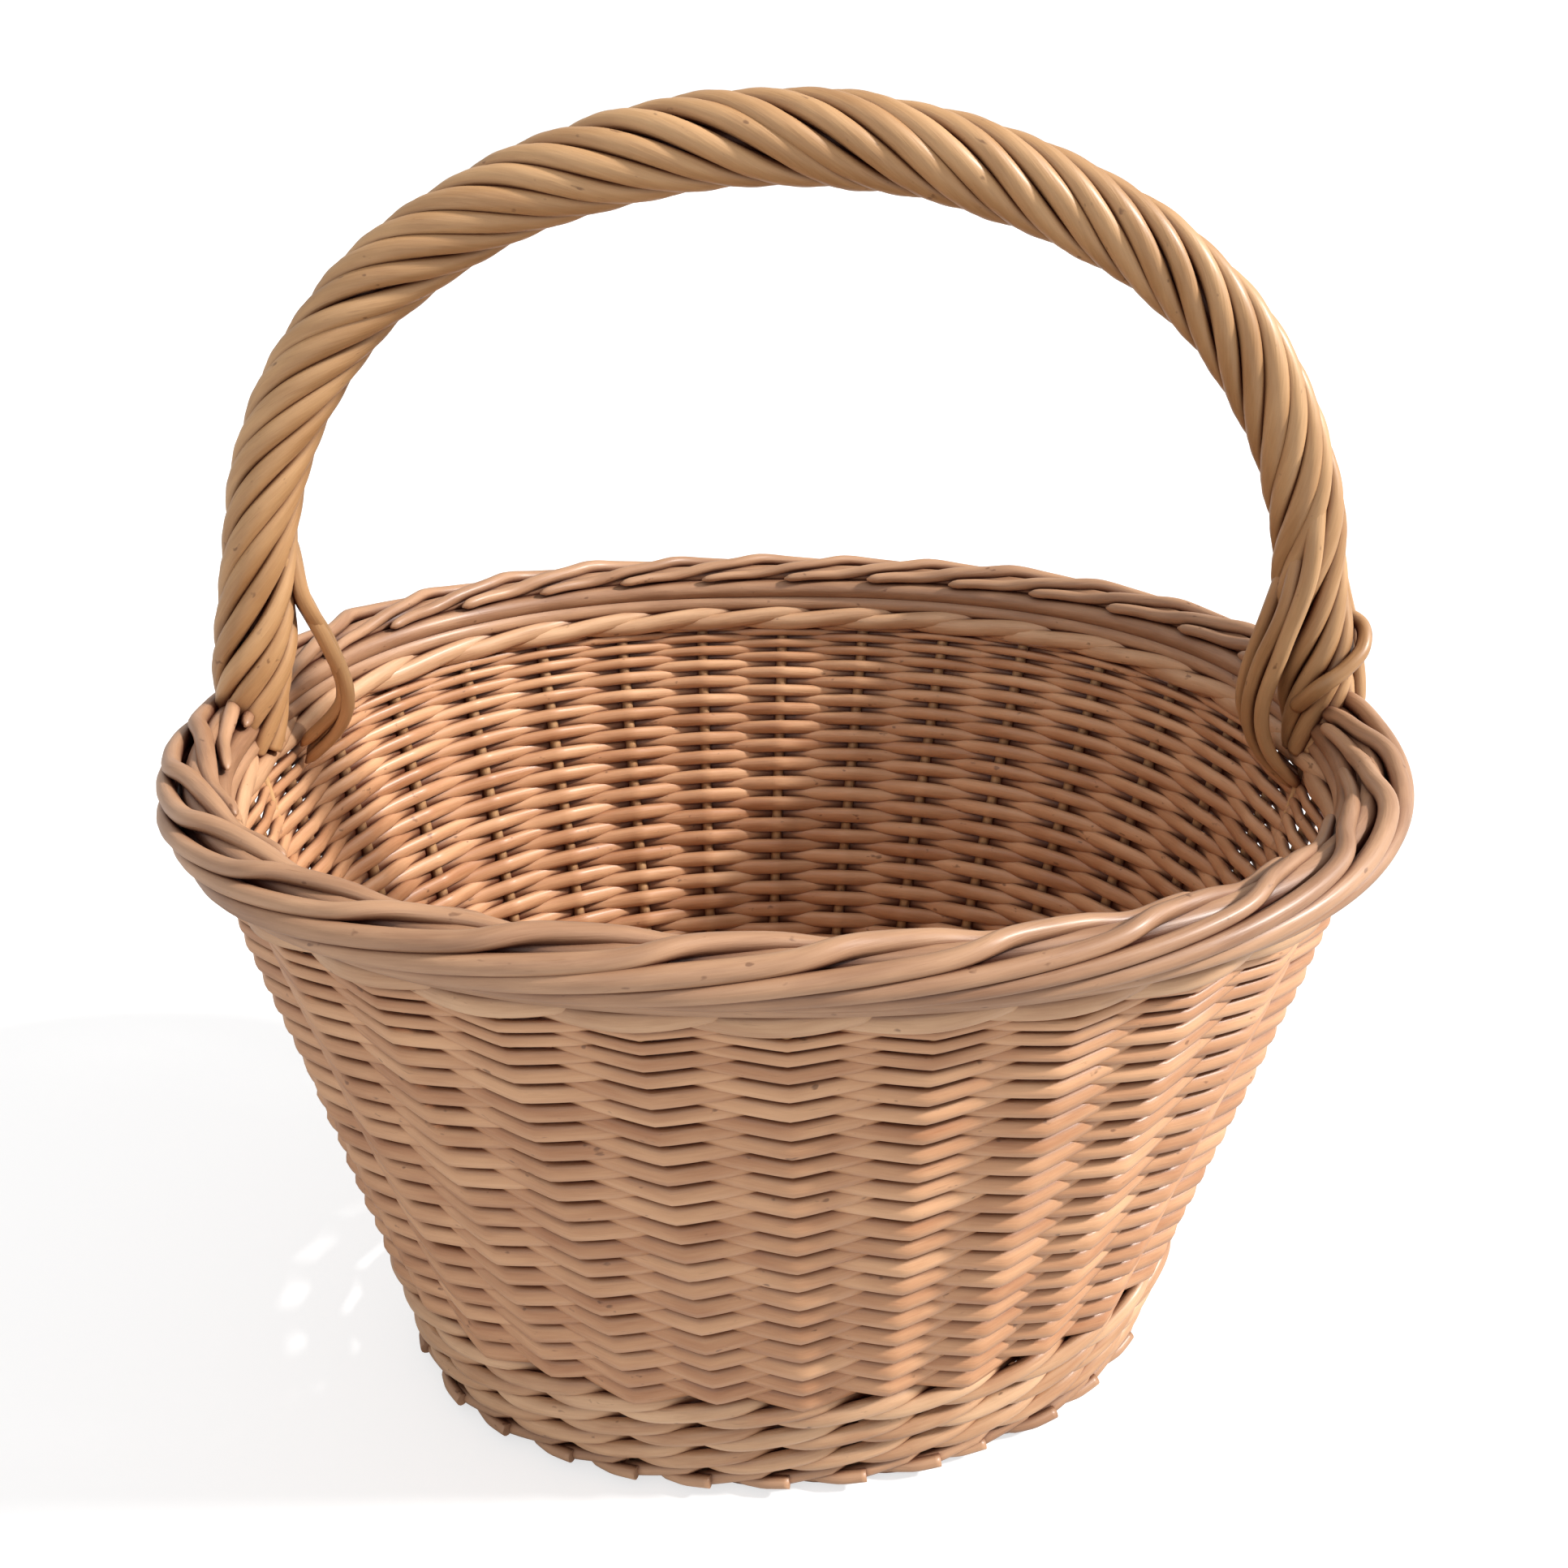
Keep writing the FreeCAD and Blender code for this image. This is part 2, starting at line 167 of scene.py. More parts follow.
def superellipse(half_length, half_width, power):
    """Outline against the share of its length: x = a cos^(2/p), y = b sin^(2/p)."""
    turn = np.linspace(0, 2 * np.pi, 721)
    c, s = np.cos(turn), np.sin(turn)
    x = np.sign(c) * np.abs(c) ** (2 / power) * half_length
    y = np.sign(s) * np.abs(s) ** (2 / power) * half_width
    run = np.concatenate([[0], np.cumsum(np.hypot(np.diff(x), np.diff(y)))])
    return run / run[-1], x, y


def station(half_length, half_width, power, share):
    """Point and unit normal of a superellipse at a share of its length.  The normal goes
    as sign(x) |x / a|^(p - 1) / a, and the same for y with b."""
    table, xs, ys = superellipse(half_length, half_width, power)
    share = np.mod(share, 1.0)
    x, y = np.interp(share, table, xs), np.interp(share, table, ys)
    nx = np.sign(x) * np.abs(x / half_length) ** (power - 1) / half_length
    ny = np.sign(y) * np.abs(y / half_width) ** (power - 1) / half_width
    size = np.hypot(nx, ny)
    return np.stack([x, y, nx / size, ny / size])


def wall(size, share, height, out):
    """Points out from the wall's middle, and the wall's outward directions there.
    The wall is a ruled surface: point = foot + (rim - foot) * height / rim height."""
    share, height, out = np.broadcast_arrays(share, height, out)
    x, y, nx, ny = station(size.foot_half_length, size.foot_half_width, size.foot_power, share)
    c, s = math.cos(size.foot_twist), math.sin(size.foot_twist)
    foot = np.stack([c * x - s * y, s * x + c * y, c * nx - s * ny, s * nx + c * ny])
    rim = station(size.rim_half_length, size.rim_half_width, size.rim_power, share)
    x, y, nx, ny = foot + (rim - foot) * height / size.rim_height
    scale = np.hypot(nx, ny)
    nx, ny = nx / scale, ny / scale
    points = np.stack([x + out * nx, y + out * ny, height], axis=-1)
    return points, np.stack([nx, ny, np.zeros_like(nx)], axis=-1)


def bell(value, middle, width):
    """A smooth bump: e to the minus ((value - middle) / width) squared."""
    return np.exp(-((value - middle) / width) ** 2)


def wander(rng, share, count, waves=(1, 2, 3, 5)):
    """Smooth random wave for each of count rods: a sum of sines of the share."""
    total = np.zeros((count, np.shape(share)[-1]))
    for wave in waves:
        phase = rng.uniform(0, 2 * np.pi, (count, 1))
        total += rng.normal(0, 1, (count, 1)) * np.sin(2 * np.pi * wave * share + phase)
    return total / len(waves)


# ---------------------------------------------------------------- rods

def unit(vectors):
    """The vectors divided by their own lengths."""
    return vectors / np.linalg.norm(vectors, axis=-1, keepdims=True)


def rods(paths, radius, guide, rng, sides=8, closed=False, width=1.0):
    """Rods along paths (rods, steps, 3).  Each ring is centre + radius * (cos a * up
    + width * sin a * side), with up the guide squared off against the path.  Returns the
    points, each point's place in its rod (up, side and metres along), its rod's tone, and
    the faces of the walls and the ends."""
    count, steps = paths.shape[:2]
    radius = np.broadcast_to(radius, (count, steps))
    guide = np.broadcast_to(guide, paths.shape)
    if closed:
        along = np.roll(paths, -1, axis=1) - np.roll(paths, 1, axis=1)
    else:
        along = np.gradient(paths, axis=1)
    along = unit(along)
    up = unit(guide - (guide * along).sum(-1, keepdims=True) * along)
    side = np.cross(along, up)
    turn = np.arange(sides) * 2 * np.pi / sides
    c = np.cos(turn)[None, None, :, None]
    s = np.sin(turn)[None, None, :, None]
    spread = radius[..., None, None] * (c * up[:, :, None] + width * s * side[:, :, None])
    points = paths[:, :, None] + spread

    # Each rod starts somewhere else in the patterns, up to 9 m along them.
    reach = np.linalg.norm(np.diff(paths, axis=1), axis=-1).cumsum(axis=1)
    reach = np.concatenate([np.zeros((count, 1)), reach], axis=1)
    reach = reach + rng.uniform(0, 9, (count, 1))
    place = np.empty(points.shape)
    place[..., 0] = radius[..., None] * np.cos(turn)
    place[..., 1] = radius[..., None] * width * np.sin(turn)
    place[..., 2] = reach[..., None]
    tone = np.broadcast_to(rng.uniform(0, 1, (count, 1, 1)), points.shape[:3])

    index = np.arange(count * steps * sides).reshape(count, steps, sides)
    after = np.roll(index, -1, axis=2)
    if closed:
        ahead, ahead_after = np.roll(index, -1, axis=1), np.roll(after, -1, axis=1)
        faces = [np.stack([index, after, ahead_after, ahead], axis=-1).reshape(-1, 4)]
    else:
        quads = [index[:, :-1], after[:, :-1], after[:, 1:], index[:, 1:]]
        faces = [np.stack(quads, axis=-1).reshape(-1, 4), index[:, 0, ::-1], index[:, -1]]
    return points.reshape(-1, 3), place.reshape(-1, 3), tone.reshape(-1), faces


def piece(name, parts, material, replaced):
    """One mesh object from the results of rods(), which rides on the basket's one body
    and stands for the CAD node that it replaces."""
    points = np.concatenate([part[0] for part in parts])
    starts = np.cumsum([0] + [len(part[0]) for part in parts])
    faces = [face + start for part, start in zip(parts, starts) for face in part[3]]
    totals = np.concatenate([np.full(len(face), face.shape[1]) for face in faces])
    corners = np.concatenate([face.ravel() for face in faces])

    mesh = bpy.data.meshes.new(name)
    mesh.vertices.add(len(points))
    mesh.vertices.foreach_set("co", points.astype(np.float32).ravel())
    mesh.loops.add(len(corners))
    mesh.loops.foreach_set("vertex_index", corners.astype(np.int32))
    mesh.polygons.add(len(totals))
    first = np.concatenate([[0], np.cumsum(totals)[:-1]])
    mesh.polygons.foreach_set("loop_start", first.astype(np.int32))
    mesh.polygons.foreach_set("use_smooth", totals == 4)
    mesh.update(calc_edges=True)
    places = np.concatenate([part[1] for part in parts])
    place = mesh.attributes.new("rod_place", "FLOAT_VECTOR", "POINT")
    place.data.foreach_set("vector", places.astype(np.float32).ravel())
    tones = np.concatenate([part[2] for part in parts])
    tone = mesh.attributes.new("rod_tone", "FLOAT", "POINT")
    tone.data.foreach_set("value", tones.astype(np.float32))
    mesh.materials.append(material)

    thing = bpy.data.objects.new(name, mesh)
    bpy.context.scene.collection.objects.link(thing)
    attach(thing, BODY)
    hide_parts(replaced)


def smooth_line(points, steps):
    """A smooth line through given points: each span is a Catmull-Rom cubic."""
    points = np.asarray(points, float)
    padded = np.concatenate([[2 * points[0] - points[1]], points,
                             [2 * points[-1] - points[-2]]])
    t = np.linspace(0, len(points) - 1 - 1e-9, steps)
    i = t.astype(int)
    f = (t - i)[:, None]
    a, b, c, d = padded[i], padded[i + 1], padded[i + 2], padded[i + 3]
    return 0.5 * (2 * b + (c - a) * f + (2 * a - 5 * b + 4 * c - d) * f ** 2
                  + (3 * b - a - 3 * c + d) * f ** 3)


def rounded_ends(steps, tip):
    """Radius along a rod whose two ends are rounded off over a share of its length."""
    t = np.linspace(0, 1, steps)
    near = np.clip(np.minimum(t, 1 - t) / tip, 0, 1)
    return np.sqrt(np.clip(1 - (1 - near) ** 2, 0.05, 1))


# ---------------------------------------------------------------- materials

def add_node(tree, kind, settings=(), **links):
    """Add a shader node.  Settings are (socket or property, value) pairs; links name an
    input by its label with underscores for spaces, or input_N by number."""
    made = tree.nodes.new("ShaderNode" + kind)
    for key, value in settings:
        if isinstance(key, int) or key in made.inputs:
            made.inputs[key].default_value = value
        else:
            setattr(made, key, value)
    for key, source in links.items():
        target = int(key[6:]) if key.startswith("input_") else key.replace("_", " ")
        tree.links.new(source, made.inputs[target])
    return made


def willow(name, dark, pale, on_rods=True, shine=0.25):
    """Peeled buff willow under a thin satin varnish.  The bark is off, so the skin is
    smooth, with fine lengthwise grain, honey blotches where the tannin soaked in, and
    small brown specks at the buds.  Shade in the creases between rods is painted into
    the colour.  On woven rods the pattern follows the rod, and each rod has a tone of
    its own; on a plain stick it follows the object."""
    material = bpy.data.materials.new(name)
    material.use_nodes = True
    tree = material.node_tree
    tree.nodes.clear()
    if on_rods:
        place = add_node(tree, "Attribute", [("attribute_name", "rod_place")]).outputs["Vector"]
        tone = add_node(tree, "Attribute", [("attribute_name", "rod_tone")]).outputs["Fac"]
    else:
        place = add_node(tree, "TexCoord").outputs["Object"]
        tone = add_node(tree, "TexNoise", [("Scale", 18.0)], Vector=place).outputs["Fac"]

    wide = add_node(tree, "Mapping", [("Scale", BLOTCHES)], Vector=place)
    blotch = add_node(tree, "TexNoise", [("Scale", 1.0), ("Detail", 3.0)],
                      Vector=wide.outputs["Vector"])
    fine = add_node(tree, "Mapping", [("Scale", GRAIN)], Vector=place)
    grain = add_node(tree, "TexNoise", [("Scale", 1.0), ("Detail", 4.0), ("Roughness", 0.6)],
                     Vector=fine.outputs["Vector"])
    spot = add_node(tree, "Mapping", [("Scale", SPECKS)], Vector=place)
    speck = add_node(tree, "TexNoise", [("Scale", 1.0), ("Detail", 2.0)],
                     Vector=spot.outputs["Vector"])

    # Dark to pale: 0.45 of the blotch, 0.40 of the rod's tone and 0.45 of the grain.
    blotched = add_node(tree, "MapRange", [("From Min", 0.3), ("From Max", 0.7)],
                        Value=blotch.outputs["Fac"])
    mix = add_node(tree, "Math", [("operation", "MULTIPLY_ADD"), (1, 0.45), (2, -0.05)],
                   input_0=blotched.outputs["Result"])
    mix = add_node(tree, "Math", [("operation", "MULTIPLY_ADD"), (1, 0.40)],
                   input_0=tone, input_2=mix.outputs["Value"])
    mix = add_node(tree, "Math", [("operation", "MULTIPLY_ADD"), (1, 0.45)],
                   input_0=grain.outputs["Fac"], input_2=mix.outputs["Value"])
    plain = add_node(tree, "Mix", [("data_type", "RGBA"), (6, (*dark, 1)), (7, (*pale, 1))],
                     input_0=mix.outputs["Value"])
    streak = add_node(tree, "MapRange", [("From Min", 0.62), ("From Max", 0.8),
                                         ("To Max", 0.6)], Value=grain.outputs["Fac"])
    streaked = add_node(tree, "Mix", [("data_type", "RGBA"), (7, (*linear(STREAK_BROWN), 1))],
                        input_0=streak.outputs["Result"], input_6=plain.outputs[2])
    dots = add_node(tree, "MapRange", [("From Min", 0.70), ("From Max", 0.76),
                                       ("To Max", 0.6)], Value=speck.outputs["Fac"])
    spotted = add_node(tree, "Mix", [("data_type", "RGBA"), (7, (*linear(BUD_BROWN), 1))],
                       input_0=dots.outputs["Result"], input_6=streaked.outputs[2])
    # Painted shade: the colour is multiplied towards a dark red brown in the creases
    #     between rods, which are the places with another rod within 7 mm, where shade would fall.
    open_air = add_node(tree, "AmbientOcclusion", [("samples", 6), ("Distance", 0.007)])
    crease_shade = add_node(tree, "MapRange", [("From Min", 0.20), ("From Max", 0.82),
                                         ("To Min", 1.0), ("To Max", 0.0)],
                      Value=open_air.outputs["AO"])
    colour = add_node(tree, "Mix", [("data_type", "RGBA"), ("blend_type", "MULTIPLY"),
                                    (7, (*linear(CREASE_SHADE_BROWN), 1))],
                      input_0=crease_shade.outputs["Result"], input_6=spotted.outputs[2])

    gloss = add_node(tree, "MapRange", [("To Min", 0.42), ("To Max", 0.62)],
                     Value=blotch.outputs["Fac"])
    relief = add_node(tree, "Math", [("operation", "MULTIPLY_ADD"), (1, 0.5)],
                      input_0=grain.outputs["Fac"], input_2=blotch.outputs["Fac"])
    bump = add_node(tree, "Bump", [("Strength", 0.5), ("Distance", 0.0006)],
                    Height=relief.outputs["Value"])
    skin = add_node(tree, "BsdfPrincipled",
                    [("Coat Weight", shine), ("Coat Roughness", 0.3), ("IOR", 1.5)],
                    Base_Color=colour.outputs[2], Roughness=gloss.outputs["Result"],
                    Normal=bump.outputs["Normal"])
    add_node(tree, "OutputMaterial", Surface=skin.outputs["BSDF"])
    return material


def studio_floor(colour):
    """Matt painted board: plain and pale, with a faint unevenness in the paint.  It glows
    a little for what the camera sees directly, and throws no light on the basket."""
    material = bpy.data.materials.new("painted_board")
    material.use_nodes = True
    tree = material.node_tree
    tree.nodes.clear()
    place = add_node(tree, "TexCoord").outputs["Object"]
    cloud = add_node(tree, "TexNoise", [("Scale", 3.0)], Vector=place)
    tint = add_node(tree, "Mix", [("data_type", "RGBA"), (6, (*colour, 1)),
                                  (7, (*[c * 0.99 for c in colour], 1))],
                    input_0=cloud.outputs["Fac"])
    seen = add_node(tree, "LightPath").outputs["Is Camera Ray"]
    glow = add_node(tree, "MapRange", [("To Max", FLOOR_GLOW)], Value=seen)
    paint = add_node(tree, "BsdfPrincipled",
                     [("Roughness", 0.8), ("Emission Color", (1, 1, 1, 1))],
                     Base_Color=tint.outputs[2], Emission_Strength=glow.outputs["Result"])
    add_node(tree, "OutputMaterial", Surface=paint.outputs["BSDF"])
    return material


# ---------------------------------------------------------------- side weaving

class BASKET_OT_side_weaving(Operator):
    """Weave the side: rows of thin rods, in front of one stake and behind the next"""

    bl_idname = "basket.side_weaving"
    bl_label = "Side weaving"

    def execute(self, context):
        size, colours = context.scene.basket_sizes, context.scene.basket_colours
        rng = np.random.default_rng(11)
        # Rows get thinner towards the top, where thinner rods and their tips are used up.
        level = np.linspace(0, 1, size.rows)
        weight = np.interp(level, [0, 0.5, 0.8, 1], [1.2, 1.05, 0.85, 0.5])
        pitch = weight / weight.sum() * (RANDING_TOP - WALE_TOP)
        height = WALE_TOP + np.cumsum(pitch) - pitch / 2

        # A row goes in and out as a triangle wave with its corners just rounded off:
        # arcsin(k cos) / arcsin(k), where cos turns half a wave from stake to stake.
        per_bay = 16
        share = np.arange(size.stakes * per_bay) / (size.stakes * per_bay)
        row = np.arange(size.rows)[:, None]
        side = np.cos(np.pi * (share * size.stakes - 0.5 + row))
        sharp = 0.999
        swing = np.arcsin(sharp * side) / math.asin(sharp)
        uneven = 1 + 0.09 * wander(rng, share, size.rows, (2, 3, 7, 11))
        thick = 0.52 * pitch[:, None] * uneven
        out = swing * (size.stake_radius + 0.55 * thick)

        # Neighbouring rows drift up and down together, most in the middle of the side,
        # and each has a little rise of its own.
        drift = sum(0.35 * MM * np.sin(2 * np.pi * wave * share + 0.11 * wave * row + wave)
                    for wave in (1, 2, 3, 4))
        drift = drift * np.sin(np.pi * (row + 0.5) / size.rows)
        rise = 0.10 * MM * wander(rng, share, size.rows, (9, 13, 17))
        # The wall leans out, so a rod sinks as it comes out and rises as it goes in.
        lean = 0.42
        z = height[:, None] + drift + rise - lean * out
        points, outward = wall(size, share, z, out)

        finish = willow("buff_willow_randing", colours.side_dark, colours.side_pale)
        bottom = WALE_TOP
        for name in SETS:
            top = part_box(name)[1].z
            rows = (height >= bottom) & (height < top)
            part = rods(points[rows], thick[rows], outward[rows], rng, closed=True, width=1.5)
            bottom = top
            piece(name.replace("side_weave", "randing"), [part], finish, name)
        return {"FINISHED"}


# ---------------------------------------------------------------- waling

def wale(size, low, pitch, thick, inside, rng):
    """One round of three-rod waling.  With w the turn since a rod last went behind a
    stake, a whole turn in three bays, the distance out is depth * (0.33 - 1.10 cos w
    - 0.23 cos 2w): one depth in at w = 0 and one depth out at the two stakes that it
    passes.  The height is a sine of w, so each stroke climbs as it goes."""
    count = 3
    steps = size.stakes * 12
    share = np.arange(steps) / steps
    rod = np.arange(count)[:, None]
    w = 2 * np.pi * (share * size.stakes - 0.5 - rod) / count
    depth = size.stake_radius + 0.6 * thick
    out = depth * (0.33 - 1.10 * np.cos(w) - 0.23 * np.cos(2 * w))
    climb = -0.22 * pitch * np.sin(w)
    thickness = thick * (1 + 0.10 * wander(rng, share, count, (1, 3, 5, 8)))
    if inside:
        out, climb = -out, -climb
    z = low + pitch / 2 + climb + 0.5 * MM * wander(rng, share, count, (2, 3, 5))
    points, outward = wall(size, share, z, out)
    return rods(points, thickness, outward, rng, sides=10, closed=True, width=1.3)


class BASKET_OT_foot_wale(Operator):
    """Weave the bands of three-rod waling above the foot"""

    bl_idname = "basket.foot_wale"
    bl_label = "Foot wale"

    def execute(self, context):
        size, colours = context.scene.basket_sizes, context.scene.basket_colours
        rng = np.random.default_rng(23)
        finish = willow("buff_willow_wale", colours.wale_dark, colours.wale_pale)
        for name in WALES:
            low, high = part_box(name)[0].z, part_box(name)[1].z
            pitch = high - low
            part = wale(size, low, pitch, 0.17 * pitch, False, rng)
            piece(name.replace("foot_wale", "waling"), [part], finish, name)
        return {"FINISHED"}


class BASKET_OT_top_wale(Operator):
    """Weave the thick wale under the rim border, with its long strokes on the inside"""

    bl_idname = "basket.top_wale"
    bl_label = "Top wale"

    def execute(self, context):
        size, colours = context.scene.basket_sizes, context.scene.basket_colours
        rng = np.random.default_rng(29)
        finish = willow("buff_willow_top_wale", colours.wale_dark, colours.wale_pale)
        pitch = BORDER_LOW - RANDING_TOP
        part = wale(size, RANDING_TOP, pitch, 0.34 * pitch, True, rng)
        piece("top_waling", [part], finish, "top_wale")
        return {"FINISHED"}


# ---------------------------------------------------------------- borders

class BASKET_OT_foot_border(Operator):
    """Lay the low foot border, with a cut rod end showing at every stake"""

    bl_idname = "basket.foot_border"
    bl_label = "Foot border"

    def execute(self, context):
        size, colours = context.scene.basket_sizes, context.scene.basket_colours
        rng = np.random.default_rng(31)
        count, thick = size.stakes, size.foot_rod
        start = np.arange(count)[:, None]
        t = np.linspace(0, 1, 26)
        jitter = rng.normal(0, 1, (count, 3, 1))

        # Turned-down stakes: from under the basket, out, and up to the right.
        bays = start + 2.3 * t + 0.05 * jitter[:, 0]
        out = MM * np.interp(t, [0, 0.2, 0.45, 0.8, 1], [-7, 2.0, 5.5, 4.5, -1])
        z = GROUND + thick + np.interp(t, [0, 0.25, 1], [0, 0.4 * MM, FOOT_TOP])
        points, outward = wall(size, bays / count, z, out + 0.3 * MM * jitter[:, 1])
        slanting = rods(points, thick * (1 + 0.08 * jitter[:, 2]), outward, rng, sides=9)

        # Cut ends: rods that come out between the slanting ones and lie along them to a
        # square cut.
        t = np.linspace(0, 1, 14)
        bays = start + 0.2 + 1.0 * t + 0.08 * jitter[:, 1]
        out = MM * np.interp(t, [0, 0.35, 0.65, 1], [-4, 4.5, 7.0, 8.0]) + 0.4 * MM * jitter[:, 0]
        z = GROUND + thick + MM * (2.0 + 3.2 * t) + 0.4 * MM * jitter[:, 2]
        points, outward = wall(size, bays / count, z, out)
        butts = rods(points, 0.9 * thick, outward, rng, sides=12)

        # Rods that run round on the ground, outside and inside.
        steps = count * 8
        share = np.arange(steps) / steps
        ring_out = MM * np.array([[1.5], [-6.5]]) + 0.8 * MM * wander(rng, share, 2, (3, 7, 11))
        points, outward = wall(size, share, GROUND + thick, ring_out)
        rings = rods(points, thick, outward, rng, closed=True)

        finish = willow("buff_willow_foot", colours.border_dark, colours.border_pale)
        piece("foot_border_rods", [slanting, butts, rings], finish,
              "foot_border")
        return {"FINISHED"}


class BASKET_OT_rim_border(Operator):
    """Roll the rim border: each stake is turned down and winds round over the next ones"""

    bl_idname = "basket.rim_border"
    bl_label = "Rim border"

    def execute(self, context):
        size, colours = context.scene.basket_sizes, context.scene.basket_colours
        rng = np.random.default_rng(37)
        count, thick = size.stakes, size.border_rod
        # Each rod lies over seven bays; t is the bays since it left the wall.
        bays_long = 7.0
        t = np.linspace(0, bays_long, 120)
        bays = np.arange(count)[:, None] + 0.5 + t
        jitter = rng.normal(0, 1, (count, 4, 1))

        # The angle round the border's section goes from under its outer edge, over the
        # top, to the inner face.  Each rod steps in over the end of the one before it,
        # and a bay later it dips under the next one.
        step_in = 5.3
        angle = np.radians(-112 + 36 * t + 14 * np.tanh(4.5 * (t - step_in)))
        angle = angle + np.radians(2) * jitter[:, 0]
        hump, dip = bell(t, step_in, 0.25), bell(t, step_in + 1.05, 0.30)
        lift = MM * (0.8 * hump - 2.4 * dip) + 0.25 * MM * jitter[:, 1]
        middle = (BORDER_LOW + BORDER_HIGH) / 2
        half_high = (BORDER_HIGH - BORDER_LOW) / 2 - 0.9 * thick
        half_wide = 10.0 * MM
        # A stake leaves the wall under the border, 3 mm out and 15 mm down from the
        # border's middle, and has joined the roll 1.1 bays further on.
        join = np.clip(t / 1.1, 0, 1) ** 0.8
        out = (half_wide + lift) * np.cos(angle) * join + (1 - join) * 3 * MM
        z = middle + (half_high + lift) * np.sin(angle) * join - (1 - join) * 15 * MM
        points = wall(size, bays / count, z, out)[0]
        centre = wall(size, bays / count, middle, 0.0)[0]
        taper = np.interp(t, [0, 0.8, 1.6, 6, bays_long], [0.55, 0.7, 1, 0.97, 0.7])
        radius = thick * taper * (1 + 0.08 * jitter[:, 2]) * rounded_ends(len(t), 0.02)
        roll = rods(points, radius, points - centre, rng, sides=12)

        # The stakes' lower layers, which fill the middle of the roll.
        steps = count * 8
        share = np.arange(steps) / steps
        core_out = MM * np.array([[-4.0], [4.0], [0.0], [-2.5], [3.0]])
        core_z = middle + MM * np.array([[-2.5], [-2.5], [3.0], [-9.0], [-8.0]])
        points, outward = wall(size, share, core_z, core_out)
        core_radius = 4.4 * MM
        core = rods(points, core_radius, outward, rng, closed=True)
        finish = willow("buff_willow_rim", colours.border_dark, colours.border_pale)
        piece("rim_border_rods", [roll, core], finish, "rim_border")
        return {"FINISHED"}


# ---------------------------------------------------------------- handle

def handle_line(size, along):
    """Middle line of the handle and its outward direction, in the XZ plane, at lengths
    along it from the border's top: a straight leg to where it touches the shoulder's
    circle, shoulder arc, crown arc, shoulder arc and leg, and straight on beyond.  The
    crown's circle is centred over the basket and holds both shoulders' circles, touching
    them inside.  Returns the points, the directions and the whole length."""
    side = size.shoulder
    level = size.rim_height + size.shoulder_lift
    rise = HANDLE_TOP - size.handle_radius - level
    inner = size.handle_span - side
    crown = (inner ** 2 + rise ** 2 - side ** 2) / (2 * (rise - side))
    bend = math.atan2(crown - rise, inner)
    reach = size.rim_half_length - size.handle_inset - inner
    drop = level - BORDER_HIGH
    touch = math.acos(side / math.hypot(reach, drop)) - math.atan2(drop, reach)
    leg = math.sqrt(reach ** 2 + drop ** 2 - side ** 2)
    arc, top = (bend - touch) * side, (math.pi - 2 * bend) * crown
    total = 2 * (leg + arc) + top
    a = np.minimum(along, total - along)
    first = touch + np.clip(a - leg, 0, arc) / side
    turn = first + np.clip(a - leg - arc, 0, top / 2) / crown
    straight = np.minimum(a - leg, 0)
    x = inner + side * np.cos(first) + crown * (np.cos(turn) - np.cos(first)) * (a > leg + arc)
    z = level + side * np.sin(first) + crown * (np.sin(turn) - np.sin(first)) * (a > leg + arc)
    x, z = x - straight * math.sin(touch), z + straight * math.cos(touch)
    sign = np.where(along < total / 2, -1.0, 1.0)
    points = np.stack([sign * x, 0 * x, z], axis=-1)
    outward = np.stack([sign * np.cos(turn), 0 * x, np.sin(turn)], axis=-1)
    return points, outward, total


class BASKET_OT_handle_roping(Operator):
    """Wind the strands round the handle's bow"""

    bl_idname = "basket.handle_roping"
    bl_label = "Handle roping"

    def execute(self, context):
        size, colours = context.scene.basket_sizes, context.scene.basket_colours
        rng = np.random.default_rng(41)
        count = size.strands
        # A strand's middle is the handle's middle + reach * (cos a * outward + sin a
        # * front), where the angle a gains a whole turn in each lay of the handle.
        total = handle_line(size, np.zeros(1))[2]
        below = 22 * MM
        along = np.linspace(-below, total + below, 520)
        share = along / total
        middle, outward = handle_line(size, along)[:2]
        front = np.array([0.0, -1.0, 0.0])
        phase = np.arange(count)[:, None] * 2 * np.pi / count
        angle = phase + 2 * np.pi * along / size.handle_turn
        angle = angle + 0.20 * wander(rng, share, count, (1, 2, 3, 5, 8))
        flat = 0.86
        strand = size.strand * (1 + 0.17 * wander(rng, share, count, (1, 2, 3, 5)))
        # Stouter at the crown, and just above the border where the strands spread.
        foot = np.minimum(along, total - along)
        stout = 0.95 + 0.14 * bell(share, 0.5, 0.16) + 0.16 * bell(foot, 14 * MM, 16 * MM)
        reach = (size.handle_radius - size.strand * flat) * stout
        reach = reach * (1 + 0.035 * wander(rng, share, count, (2, 3, 5, 7)))
        spread = np.cos(angle)[..., None] * outward + np.sin(angle)[..., None] * front
        points = middle + reach[..., None] * spread
        part = rods(points, strand * flat, spread, rng, sides=12, width=1 / flat)
        finish = willow("buff_willow_handle", colours.handle_dark, colours.handle_pale)
        piece("handle_strands", [part], finish, "handle_roping")
        return {"FINISHED"}


